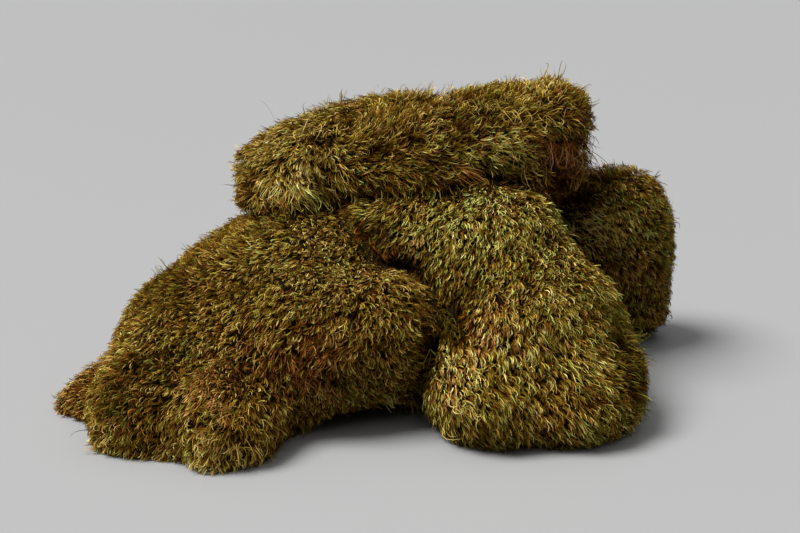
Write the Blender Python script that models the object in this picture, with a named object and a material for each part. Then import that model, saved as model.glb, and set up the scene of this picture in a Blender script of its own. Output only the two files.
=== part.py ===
"""A moss clump: thick mats of combed, feathery moss, lifted in sheets and heaped up one on another.

A broad mat slopes down to the ground at the left and the front, a second one falls to the ground at the
front right, a third stands behind it at the right, and a thick folded one lies across the top. Each mat is
one closed solid of its outer form, out to the tips of its shoots. +X is the viewer's right, +Y goes to the
back and +Z is up. The heap stands on Z = 0, and the origin is the middle of its outline on the ground.
"""

from collections import namedtuple
from math import radians

import bmesh
import bpy
from mathutils import Euler, Matrix, Vector

MM = 0.001

# Driving dimensions, in metres.
GAP = 0.35 * MM            # air left between two mats that lie against each other
SWELL_HEIGHT = 10.0 * MM   # how far the broad swells of a mat stand out and sink in
SWELL_WIDTH = 60.0 * MM    # the distance from one swell to the next
TUFT_HEIGHT = 7.0 * MM     # the same for the smaller tufts on them
TUFT_WIDTH = 20.0 * MM
GRAIN = 6.0 * MM           # the fineness at which the lobes of a mat are grown together
SOFTENING = 10             # rounds of smoothing where lobes meet
GROUND_DEPTH = 0.2         # the block that trims the mats flat underneath
GROUND_WIDTH = 1.0
LOBE_FINENESS = 4          # rounds of splitting of the ball that a lobe is made from

# A lobe is a rounded swelling: its middle, half its size each way, and its tilts, in millimetres and degrees.
Lobe = namedtuple("Lobe", "x y z across deep tall pitch roll turn", defaults=(0, 0, 0))

# A mat is its lobes, the hollows pressed into it, the mats that it lies against, the number of faces that
# its form is drawn with, and its colour.
Mat = namedtuple("Mat", "name lobes hollows against faces colour")

LEFT_MAT = Mat(
    name="left_mat",
    lobes=[
        Lobe(-62, -8, 30, 118, 114, 106),           # the broad middle of the mat, under the top one
        Lobe(-106, 58, 24, 74, 70, 64),             # behind, at the left
        Lobe(-20, 80, 28, 66, 60, 68),              # behind, at the right
        Lobe(-56, -14, 84, 60, 74, 52),             # its highest part
        Lobe(-126, -30, 20, 79, 110, 80, roll=-8),  # left shoulder
        Lobe(-162, -108, 18, 42, 54, 44),           # front lobe at the left
        Lobe(-104, -130, 20, 42, 52, 46),           # front lobe at the right
        Lobe(-196, -62, 8, 45, 38, 27, roll=-14),   # the tip that trails on the ground
        Lobe(-50, -84, 60, 62, 56, 54),             # the middle of the front slope
        Lobe(-5, -78, 65, 50, 46, 48, roll=20),     # the crest that runs down to the right
    ],
    hollows=[Lobe(8, -128, -14, 74, 62, 36)],       # the right edge stands off the ground
    against=[],
    faces=2800,
    colour=(0.13, 0.11, 0.025),
)

FRONT_MAT = Mat(
    name="front_mat",
    lobes=[
        Lobe(74, 0, 66, 76, 98, 92),                # where the mat goes under the top one
        Lobe(16, -2, 96, 62, 66, 58),               # the part behind the crest of the left mat
        Lobe(94, -46, 52, 82, 92, 66),              # the fall of the mat
        Lobe(119, -82, 26, 66, 73, 48),             # its right edge
        Lobe(76, -94, 28, 52, 64, 44),              # its left edge, which bulges over the ground
    ],
    hollows=[],
    against=["left_mat"],
    faces=2400,
    colour=(0.16, 0.15, 0.035),
)

TOP_MAT = Mat(
    name="top_mat",
    lobes=[
        Lobe(-60, 46, 160, 60, 64, 36, roll=-14),   # left end
        Lobe(8, 50, 172, 84, 72, 40, roll=-4),      # middle
        Lobe(92, 48, 180, 58, 66, 42),              # right end
        Lobe(124, 50, 194, 32, 56, 28),             # the upper corner of the right end
        Lobe(120, 34, 158, 32, 52, 26),             # its lower corner
        Lobe(-74, 24, 140, 44, 50, 22),             # the fold tucked under the left end
        Lobe(12, 14, 156, 60, 44, 22),              # the belly that hangs over the mats below
        Lobe(-14, 98, 140, 90, 40, 46, pitch=-12),  # the side that hangs down behind
    ],
    hollows=[Lobe(-126, 20, 160, 24, 70, 6)],       # the crease between the left end and its fold
    against=["left_mat", "front_mat"],
    faces=2300,
    colour=(0.14, 0.12, 0.03),
)

BACK_MAT = Mat(
    name="back_mat",
    lobes=[
        Lobe(166, 84, 90, 52, 50, 62),              # the part that leans on the front mat
        Lobe(184, 90, 100, 48, 48, 50),             # its top corner
        Lobe(198, 92, 70, 38, 42, 46),              # its right edge
        Lobe(192, 104, 34, 45, 44, 46),             # its foot
        Lobe(124, 116, 40, 66, 34, 58),             # its end behind the front mat
    ],
    hollows=[Lobe(208, 66, -6, 60, 40, 25)],        # its front edge stands off the ground
    against=["left_mat", "front_mat", "top_mat"],
    faces=1700,
    colour=(0.07, 0.065, 0.02),
)

MATS = [LEFT_MAT, FRONT_MAT, TOP_MAT, BACK_MAT]


def clear_scene():
    for old in list(bpy.data.objects):
        bpy.data.objects.remove(old, do_unlink=True)


def lobe_matrix(lobe):
    size = Matrix.Diagonal(Vector((lobe.across, lobe.deep, lobe.tall)) * MM).to_4x4()
    tilt = Euler([radians(lobe.pitch), radians(lobe.roll), radians(lobe.turn)]).to_matrix().to_4x4()
    return Matrix.Translation(Vector((lobe.x, lobe.y, lobe.z)) * MM) @ tilt @ size


def lobes_mesh(name, lobes):
    """One mesh that holds a stretched ball for each lobe."""
    balls = bmesh.new()
    for lobe in lobes:
        bmesh.ops.create_icosphere(balls, subdivisions=LOBE_FINENESS, radius=1, matrix=lobe_matrix(lobe))
    mesh = bpy.data.meshes.new(name)
    balls.to_mesh(mesh)
    balls.free()
    return mesh


def add_object(name, mesh, heap):
    made = bpy.data.objects.new(name, mesh)
    bpy.context.scene.collection.objects.link(made)
    made.parent = heap
    return made


def make_helper(obj):
    """A cutter shapes other objects and is not part of the heap."""
    obj.hide_render = True
    obj.display_type = "WIRE"
    return obj


def moss_material(mat):
    material = bpy.data.materials.new(mat.name)
    material.use_nodes = True
    shader = material.node_tree.nodes["Principled BSDF"]
    shader.inputs["Base Color"].default_value = (*mat.colour, 1)
    shader.inputs["Roughness"].default_value = 0.9
    shader.inputs["Metallic"].default_value = 0
    return material


def cloud_texture(name, width):
    texture = bpy.data.textures.new(name, "CLOUDS")
    texture.noise_scale = width
    return texture


def cut(obj, cutter):
    boolean = obj.modifiers.new("cut by " + cutter.name, "BOOLEAN")
    boolean.operation = "DIFFERENCE"
    boolean.object = cutter


def displace(obj, name, texture, height):
    bumps = obj.modifiers.new(name, "DISPLACE")
    bumps.texture = texture
    bumps.texture_coords = "LOCAL"
    bumps.strength = height
    bumps.mid_level = 0.5


def remesh(obj, name):
    grown = obj.modifiers.new(name, "REMESH")
    grown.mode = "VOXEL"
    grown.voxel_size = GRAIN
    grown.use_smooth_shade = True


def triangle_count(obj):
    bpy.context.view_layer.update()
    drawn = obj.evaluated_get(bpy.context.evaluated_depsgraph_get()).data
    drawn.calc_loop_triangles()
    return len(drawn.loop_triangles)


def grow_form(obj, mat, textures, hollows):
    """The outer form of a mat before it is trimmed: lobes grown together, softened, lumpy, and faceted."""
    remesh(obj, "grown together")
    softened = obj.modifiers.new("softened", "SMOOTH")
    softened.iterations = SOFTENING
    displace(obj, "swells", textures["swells"], SWELL_HEIGHT)
    displace(obj, "tufts", textures["tufts"], TUFT_HEIGHT)
    remesh(obj, "evened")
    fine = triangle_count(obj)
    faceted = obj.modifiers.new("faceted", "DECIMATE")
    faceted.ratio = mat.faces / fine
    for hollow in hollows:
        cut(obj, hollow)


def add_room(mat, mesh, textures, hollows, heap):
    """The form of a mat, larger by the gap: what it takes out of a mat that lies against it."""
    cutter = make_helper(add_object(mat.name + " room", mesh, heap))
    grow_form(cutter, mat, textures, hollows)
    room = cutter.modifiers.new("gap", "DISPLACE")
    room.strength = GAP
    room.mid_level = 0
    return cutter


def add_ground(heap):
    """The block under Z = 0 that trims every mat flat."""
    block = bmesh.new()
    size = Matrix.Diagonal((GROUND_WIDTH, GROUND_WIDTH, GROUND_DEPTH, 1))
    bmesh.ops.create_cube(block, size=1, matrix=Matrix.Translation((0, 0, -GROUND_DEPTH / 2)) @ size)
    mesh = bpy.data.meshes.new("ground")
    block.to_mesh(mesh)
    block.free()
    return make_helper(add_object("ground", mesh, heap))


def world_corners(objects):
    """The lowest and the highest corner of the box round the objects."""
    graph = bpy.context.evaluated_depsgraph_get()
    points = []
    for obj in objects:
        drawn = obj.evaluated_get(graph)
        points += [drawn.matrix_world @ vertex.co for vertex in drawn.data.vertices]
    low = Vector([min(point[axis] for point in points) for axis in range(3)])
    high = Vector([max(point[axis] for point in points) for axis in range(3)])
    return low, high


def main():
    clear_scene()
    heap = bpy.data.objects.new("heap", None)
    bpy.context.scene.collection.objects.link(heap)
    textures = {
        "swells": cloud_texture("swells", SWELL_WIDTH),
        "tufts": cloud_texture("tufts", TUFT_WIDTH),
    }
    ground = add_ground(heap)
    rooms = {}
    nodes = []
    for mat in MATS:
        mesh = lobes_mesh(mat.name, mat.lobes)
        mesh.materials.append(moss_material(mat))
        hollows = []
        if mat.hollows:
            hollow_mesh = lobes_mesh(mat.name + " hollow", mat.hollows)
            hollows.append(make_helper(add_object(mat.name + " hollow", hollow_mesh, heap)))
        node = add_object(mat.name, mesh, heap)
        grow_form(node, mat, textures, hollows)
        for neighbour in mat.against:
            cut(node, rooms[neighbour])
        cut(node, ground)
        rooms[mat.name] = add_room(mat, mesh, textures, hollows, heap)
        nodes.append(node)
    bpy.context.view_layer.update()
    low, high = world_corners(nodes)
    heap.location = (-(low.x + high.x) / 2, -(low.y + high.y) / 2, 0)


if __name__ == "__main__":
    main()
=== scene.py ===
"""The looks of a moss clump: four heaped mats of combed, sickle-leaved moss.

Every mat is a dark felted core, which stands a little inside the mat's solid, an under coat of short brown
leaves, an over coat of sickle-shaped leaves whose tips reach the solid's surface, and loose strands. The
leaves are combed along strokes and coloured by patches. Light and shade are also painted into their colour:
they are darker in seams, in hollows and towards their roots, some are painted highlights, and patches are
lighter or darker where a mat is more or less lit. Strokes, patches, hollows and loose strands are placed by
pixels of the photograph (800 x 533) and cast on the solids by the camera's rays.
"""

from collections import namedtuple
from math import atan, ceil, cos, exp, log, radians, sin

import bpy
import numpy as np
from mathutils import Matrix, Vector
from mathutils.bvhtree import BVHTree
from mathutils.kdtree import KDTree


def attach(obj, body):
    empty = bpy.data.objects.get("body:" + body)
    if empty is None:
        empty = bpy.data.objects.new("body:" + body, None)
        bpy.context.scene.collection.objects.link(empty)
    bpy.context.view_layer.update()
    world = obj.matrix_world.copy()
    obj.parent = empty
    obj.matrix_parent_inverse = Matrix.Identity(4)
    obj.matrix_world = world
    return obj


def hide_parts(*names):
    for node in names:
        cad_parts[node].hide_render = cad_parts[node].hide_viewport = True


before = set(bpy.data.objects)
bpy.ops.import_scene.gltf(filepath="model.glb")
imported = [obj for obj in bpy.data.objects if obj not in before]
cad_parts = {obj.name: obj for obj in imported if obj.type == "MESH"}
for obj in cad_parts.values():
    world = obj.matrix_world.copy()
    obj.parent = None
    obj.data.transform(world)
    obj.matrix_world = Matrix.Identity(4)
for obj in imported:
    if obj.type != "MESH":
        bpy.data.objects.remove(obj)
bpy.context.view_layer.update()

MM = 0.001
BODY = "root"

# The camera of the photograph, in metres and in pixels of its frame.
IMAGE_WIDTH, IMAGE_HEIGHT = 800, 533
FOCAL_PIXELS = 1400
SENSOR_WIDTH = 36
CAMERA_PLACE = Vector((0.01147, -0.98936, 0.369))
HORIZON = 391  # pixels above the middle of the frame
CAMERA_SLOPE = atan(HORIZON / FOCAL_PIXELS)

# The studio: each light's direction from the heap, its power and its breadth in degrees, and the surround.
TOWARDS_KEY = (-0.55, -0.12, 1.0)
KEY_POWER = 4.6
KEY_BREADTH = 30
TOWARDS_TOP = (0, 0, 1)
TOP_POWER = 1.2
TOP_BREADTH = 100
SURROUND = 0.06
SURROUND_COLOUR = (0.95, 0.97, 1.0)
FLOOR_GREY = 0.32
FLOOR_ROUGHNESS = 0.6
FLOOR_REACH = 6.0

# The felted cores and the seams between the mats, with lengths in metres.
CORE_GRAIN = 4.5 * MM  # the size of a core's faces
CORE_DEPTH = 6.8 * MM  # how far a core stands inside its solid where the air reaches it
CORE_LUMPS = 1.5 * MM
CORE_LUMP_WIDTH = 9 * MM
CLEAR_OF_GROUND = 0.2 * MM
BURIED = 0.8 * MM  # nearer than this to its neighbour, a mat is out of sight
BURIED_DEPTH = 1.0 * MM  # how far a core stands inside its solid there
NARROW_GAP = 5 * MM  # where two mats are nearer than this, their cores come closer as well
NARROW_DEPTH = 0.35  # down to this share of their depth
SEAM = 7 * MM  # leaves also grow this far into the seam between two mats
SEAM_EDGE = 2.5 * MM  # from here into the seam the cores come closer to each other
SEAM_SHADE = 0.42  # painted shade: how dark the leaves in a seam are
SEAM_REACH = 6 * MM  # how far that shade reaches out of it
HOLLOW_SHADE = 0.45  # painted shade: how dark the leaves in a hollow are at the depth below
HOLLOW_DEPTH = 5 * MM

# Neither leaves nor felt shine much. The felt's noise has about so many swells to a metre.
LEAF_ROUGHNESS, LEAF_GLOSS = 0.6, 0.02
FELT_ROUGHNESS, FELT_GLOSS = 0.95, 0.1
FELT_GRAIN, FELT_DETAIL = 220, 6
FELT_BUMP, FELT_BUMP_HEIGHT = 0.8, 1 * MM
FELT_COLOURS = [(0.3, (0.003, 0.0015, 0.0004)), (0.55, (0.011, 0.006, 0.001)), (0.8, (0.028, 0.016, 0.003))]

# A coat of leaves that grow in shoots, with lengths in millimetres and angles in degrees. Cover is the number
# of shoots on a square centimetre, and bends the number of straight stretches of a leaf. Depth is how far
# under the solid's surface the shoots are rooted, and ragged how far they stand out and sink in. Lift and
# tip_lift are the angles to the surface at which a leaf sets out and ends, curl is how far it bends sideways
# and stray how far it strays from the comb. Light is how light it is, root how light at its root, and brown
# the share of its dull leaves that are brown.
# A leaf's root is darker than its tip as painted shade deep in the coat.
Coat = namedtuple(
    "Coat", "cover leaves length width bends depth lift tip_lift curl stray ragged light root brown")
UNDER = Coat(
    cover=12.5, leaves=2, length=8.5, width=0.84, bends=2, depth=6.2, lift=45, tip_lift=0, curl=60, stray=35,
    ragged=0.8, light=0.48, root=0.28, brown=0.45)
COMBED = Coat(
    cover=14, leaves=3, length=10.0, width=0.49, bends=3, depth=4.8, lift=56, tip_lift=-8, curl=90, stray=12,
    ragged=1.3, light=1.0, root=0.28, brown=0.30)
TOUSLED = COMBED._replace(length=9.4, width=0.45, curl=115, stray=25, ragged=2.0, root=0.22, brown=0.34)
SHORT = COMBED._replace(
    cover=16, length=7.6, width=0.44, depth=4.0, lift=54, curl=110, stray=26, ragged=1.4,
    root=0.29, brown=0.36)
FINE = COMBED._replace(
    cover=15.5, length=6.8, width=0.44, depth=3.4, lift=50, curl=80, stray=18, ragged=1.0,
    root=0.34, brown=0.24)

# The shoots of a coat, with an array for each of these. Far is how far they look away from the camera, and
# light how far they are from the middle of the light ramp.
Shoots = namedtuple("Shoots", "roots normals combed far hues light curl length lift tip_lift")

# The palette runs from dark, dead brown by gold to deep green: a place on it, and its colour (linear RGB).
PALETTE = {
    "root": (0.03, (0.085, 0.050, 0.015)),
    "rust": (0.14, (0.250, 0.085, 0.014)),
    "tan": (0.26, (0.460, 0.245, 0.045)),
    "straw": (0.38, (0.600, 0.480, 0.100)),
    "gold": (0.50, (0.460, 0.325, 0.035)),
    "olive": (0.62, (0.280, 0.215, 0.020)),
    "lime": (0.74, (0.400, 0.385, 0.060)),
    "moss": (0.86, (0.190, 0.195, 0.024)),
    "deep": (0.97, (0.070, 0.088, 0.016)),
}
BROWNS = (0.03, 0.24)  # the stretch of the palette that dead leaves take

# A stroke of the comb, from one pixel to another.
Stroke = namedtuple("Stroke", "x0 y0 x1 y1")
# A patch of colour: its middle in pixels, its radius in millimetres, its colour, the share of its shoots that
# take it, and how many times lighter the patch is. That lightness is partly the moss's own tone and partly
# painted light and shade: painted light on a fold or belly that faces down, painted shade in creases, under
# overhangs and on sides turned from the light.
Patch = namedtuple("Patch", "x y radius hue share light")
# A hollow in a mat: its middle in pixels, its radius and its depth in millimetres. A depth below 0 is a
# swelling.
Hollow = namedtuple("Hollow", "x y radius depth", defaults=(3,))
# Loose strands: the two pixels between which they are rooted, how many there are, how many pixels their tips
# lie to the right of and below their roots, their colour, their width in millimetres, by how many pixels the
# tips scatter, and how light they are.
Tuft = namedtuple("Tuft", "x0 y0 x1 y1 count lean_x lean_y hue width scatter light", defaults=(0.5, 5, 0.9))
# A mat: its node and slot, its over coat, its usual hues and how much of each, how light it is, which way its
# leaves curl (-1 to 1), the depth and width of the hollows between its tufts in millimetres, what is placed
# on it by pixels, and its seed.
Mat = namedtuple("Mat", "node slot coat hues light curl_side relief tuft strokes patches hollows tufts seed")


def rows(kind, values):
    """A list of strokes, patches, hollows or tufts, each with its fields in order."""
    return [kind(*row) for row in values]


LEFT = Mat(
    node="left_mat", slot="left_moss", coat=SHORT,
    hues={"gold": 3.6, "olive": 4, "lime": 1.6, "tan": 1.9, "straw": 0.6}, light=0.98,
    curl_side=0.0, relief=2.6, tuft=15,
    strokes=rows(Stroke, [
        (240, 232, 224, 226), (200, 252, 186, 243), (165, 272, 150, 264), (135, 300, 121, 300),
        (118, 335, 105, 342), (75, 390, 62, 404), (100, 370, 86, 384), (110, 415, 98, 430),
        (110, 445, 98, 458), (150, 345, 138, 358), (150, 400, 136, 412), (155, 440, 148, 456),
        (180, 300, 168, 312), (220, 265, 206, 276), (225, 320, 209, 334), (270, 280, 254, 300),
        (260, 240, 244, 248), (310, 240, 296, 256), (330, 300, 314, 320), (200, 370, 186, 386),
        (250, 360, 236, 378), (200, 425, 190, 445), (230, 455, 226, 475), (265, 440, 266, 460),
        (350, 335, 333, 350), (310, 380, 306, 398), (345, 255, 334, 270), (395, 290, 405, 304),
        (420, 315, 432, 328), (395, 340, 404, 356), (365, 385, 378, 398), (400, 385, 412, 400),
        (330, 410, 338, 424),
    ]),
    patches=rows(Patch, [
        (320, 242, 20, "straw", 0.3, 1.4), (340, 272, 16, "gold", 0.2, 1.35),
        (260, 222, 16, "moss", 0.6, 0.85), (165, 275, 30, "moss", 0.55, 0.36),
        (175, 295, 16, "gold", 0.2, 0.75), (225, 290, 25, "gold", 0.3, 0.8),
        (265, 290, 22, "olive", 0.2, 0.9), (300, 285, 20, "straw", 0.2, 1.05),
        (355, 282, 9, "tan", 0.4, 0.85), (315, 345, 16, "rust", 0.65, 0.95), (355, 335, 14, "tan", 0.65, 1),
        (310, 378, 18, "rust", 0.65, 1.25), (245, 365, 18, "rust", 0.45, 0.9),
        (280, 360, 14, "rust", 0.5, 0.9), (75, 392, 18, "tan", 0.9, 0.9), (105, 362, 14, "tan", 0.8, 0.7),
        (122, 380, 17, "root", 0.3, 0.6), (60, 402, 9, "root", 0.5, 0.9), (135, 338, 8, "straw", 0.6, 1.2),
        (150, 355, 16, "moss", 0.8, 0.62), (115, 404, 16, "moss", 0.7, 0.62),
        (90, 412, 7, "straw", 0.6, 1.2), (190, 350, 11, "moss", 0.7, 0.9), (200, 390, 22, "tan", 0.5, 1.05),
        (100, 435, 13, "straw", 0.6, 1.05), (150, 435, 18, "olive", 0.5, 0.75),
        (200, 435, 16, "straw", 0.5, 0.95), (235, 440, 9, "root", 0.3, 0.6),
        (240, 458, 13, "straw", 0.4, 0.95), (365, 395, 22, "moss", 0.6, 0.9),
        (400, 320, 18, "lime", 0.6, 0.92), (390, 272, 18, "straw", 0.3, 1.05),
        # Painted shade: the deep patch at (430, 345) darkens the end of the crack beside the front mat.
        (430, 345, 11, "deep", 0.4, 0.35),
    ]),
    hollows=rows(Hollow, [
        (315, 265, 6), (235, 276, 4), (215, 292, 6), (150, 348, 6), (135, 365, 7), (240, 438, 11, 5),
        (232, 378, 6), (345, 383, 9, 4), (385, 345, 6), (430, 345, 9, 5), (150, 447, 8, 4), (158, 402, 5),
        (305, 330, 4), (365, 370, 5), (140, 288, 14, -2.5), (95, 365, 12, -2.5), (208, 236, 12, 2.5),
        (228, 224, 8, 2.5), (102, 450, 14, -7), (205, 468, 16, -7), (165, 454, 12, -4), (68, 414, 6),
        (160, 268, 12, -2), (60, 398, 6, -2),
    ]),
    tufts=rows(Tuft, [
        (180, 256, 215, 238, 12, -6, -7, "olive", 0.55, 3, 0.7),
        (148, 278, 172, 262, 7, -6, -5, "lime", 0.55, 3, 1),
        (300, 431, 419, 402, 60, 2, 10, "olive", 0.6, 5, 0.7),
        (262, 470, 300, 433, 20, 4, 7, "lime", 0.6, 4, 0.8),
        (380, 396, 392, 398, 6, 11, 12, "lime", 0.7, 3, 1.2),
        (432, 351, 434, 353, 3, -10, 15, "lime", 0.7, 2, 1.3),
        (433, 351, 435, 353, 2, 8, 11, "lime", 0.7, 2, 1.3),
        (93, 431, 93, 431, 1, -23, 8, "root", 1.2, 0, 0.7),
        (119, 336, 117, 344, 4, -8, -9, "root", 0.5, 4, 0.8), (92, 440, 96, 447, 5, -15, 3, "tan", 0.5, 4),
        (186, 462, 192, 470, 5, 2, 10, "tan", 0.5, 4), (212, 470, 232, 473, 6, 0, 8, "tan", 0.5, 4),
        (58, 396, 62, 404, 5, -8, 3, "root", 0.5, 3, 0.8),
        (95, 452, 170, 458, 22, -3, 5, "straw", 0.5, 4, 0.8),
        (180, 365, 235, 420, 70, -5, 8, "tan", 0.4, 13, 1),
        (180, 432, 260, 452, 60, -2, 11, "straw", 0.5, 9, 1),
        (290, 362, 330, 396, 30, 4, 4, "rust", 0.5, 10, 1.7),
    ]),
    seed=11,
)

FRONT = Mat(
    node="front_mat", slot="front_moss", coat=COMBED,
    hues={"lime": 4.6, "gold": 2.2, "straw": 2, "olive": 2, "tan": 0.5}, light=1.13,
    curl_side=-0.7, relief=1.6, tuft=16,
    strokes=rows(Stroke, [
        (430, 205, 426, 228), (462, 205, 457, 228), (492, 215, 500, 236), (525, 215, 530, 238),
        (415, 240, 412, 258), (385, 240, 380, 256), (460, 255, 458, 276), (500, 262, 505, 284),
        (535, 262, 533, 286), (565, 260, 571, 280), (450, 300, 452, 320), (485, 300, 487, 322),
        (530, 305, 536, 328), (575, 300, 584, 320), (482, 340, 486, 362), (520, 350, 528, 372),
        (560, 350, 570, 372), (600, 350, 614, 366), (455, 365, 470, 380), (445, 390, 458, 406),
        (500, 390, 512, 410), (545, 395, 558, 416), (590, 390, 604, 408), (440, 425, 450, 442),
        (480, 430, 491, 448), (530, 430, 544, 448), (580, 430, 596, 444), (620, 340, 636, 348),
        (635, 375, 650, 384), (625, 415, 640, 425),
    ]),
    patches=rows(Patch, [
        (470, 208, 26, "lime", 0.5, 1.6), (412, 240, 9, "tan", 0.75, 1.7),
        # Painted shade: the dark patches from (375, 228) down to (456, 332) darken the crack below the left
        # mat's crest.
        (435, 215, 13, "lime", 0.5, 1.15), (375, 228, 16, "moss", 0.85, 0.32),
        (398, 258, 8, "deep", 0.6, 0.4), (414, 270, 8, "deep", 0.6, 0.22), (433, 291, 9, "deep", 0.6, 0.16),
        (447, 313, 9, "root", 0.6, 0.18), (456, 332, 8, "root", 0.6, 0.25),
        (505, 252, 34, "lime", 0.45, 0.86), (462, 285, 14, "moss", 0.5, 0.6),
        (487, 322, 17, "tan", 0.85, 1.35), (476, 340, 12, "tan", 0.6, 1.25),
        (455, 368, 16, "straw", 0.7, 1.95), (440, 388, 12, "tan", 0.5, 1.15),
        (447, 437, 12, "moss", 0.5, 0.8), (540, 420, 14, "tan", 0.45, 0.95), (560, 410, 18, "gold", 0.4, 1),
        (585, 395, 11, "root", 0.35, 0.65), (600, 420, 10, "lime", 0.5, 1.1),
        # The moss patches at (630, 345), (642, 380) and (627, 378) are partly the edge's own dark green and
        # partly painted shade on the side turned from the light.
        (630, 345, 16, "moss", 0.85, 0.25), (642, 380, 17, "moss", 0.8, 0.17),
        (505, 422, 24, "gold", 0.2, 0.86), (570, 365, 24, "gold", 0.2, 0.9),
        (625, 420, 12, "moss", 0.6, 0.7), (560, 442, 14, "moss", 0.3, 0.8),
        (490, 445, 17, "moss", 0.4, 0.75), (600, 298, 15, "moss", 0.8, 0.6),
        (618, 308, 13, "moss", 0.85, 0.8), (627, 378, 12, "moss", 0.6, 0.45),
    ]),
    hollows=rows(Hollow, [
        (583, 398, 6), (545, 395, 7, 2), (620, 340, 8, 4), (397, 262, 8, 9), (427, 285, 10, 13),
        (445, 307, 10, 13), (454, 327, 8, 11), (470, 285, 11), (480, 428, 7), (640, 345, 5),
        (648, 385, 10, 3.5), (448, 448, 13, -7), (539, 197, 9, -4),
    ]),
    tufts=rows(Tuft, [
        (641, 392, 643, 396, 3, 11, 11, "moss", 0.8, 3), (606, 446, 613, 448, 5, 13, -3, "tan", 0.6),
        (638, 330, 646, 372, 22, 7, -1, "moss", 0.6, 5, 0.8),
        (440, 450, 462, 455, 8, -4, 5, "tan", 0.6, 4, 0.8),
        (441, 424, 443, 426, 2, 26, 13, "straw", 0.45, 2, 1),
        (470, 452, 600, 448, 34, 4, 5, "olive", 0.6, 4, 0.8),
        (440, 390, 480, 420, 40, 8, 8, "straw", 0.5, 9, 1.1),
        (602, 300, 642, 350, 50, 8, 3, "moss", 0.55, 10, 0.8),
        (630, 350, 646, 420, 40, 8, 4, "moss", 0.55, 8, 0.6),
        (440, 380, 450, 384, 4, -6, -8, "straw", 0.5, 4, 1),
        # Painted shade: dark moss strands laid along the crack below the left mat's crest.
        (418, 278, 458, 334, 90, 4, 9, "moss", 0.6, 8, 0.3),
    ]),
    seed=23,
)

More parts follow.
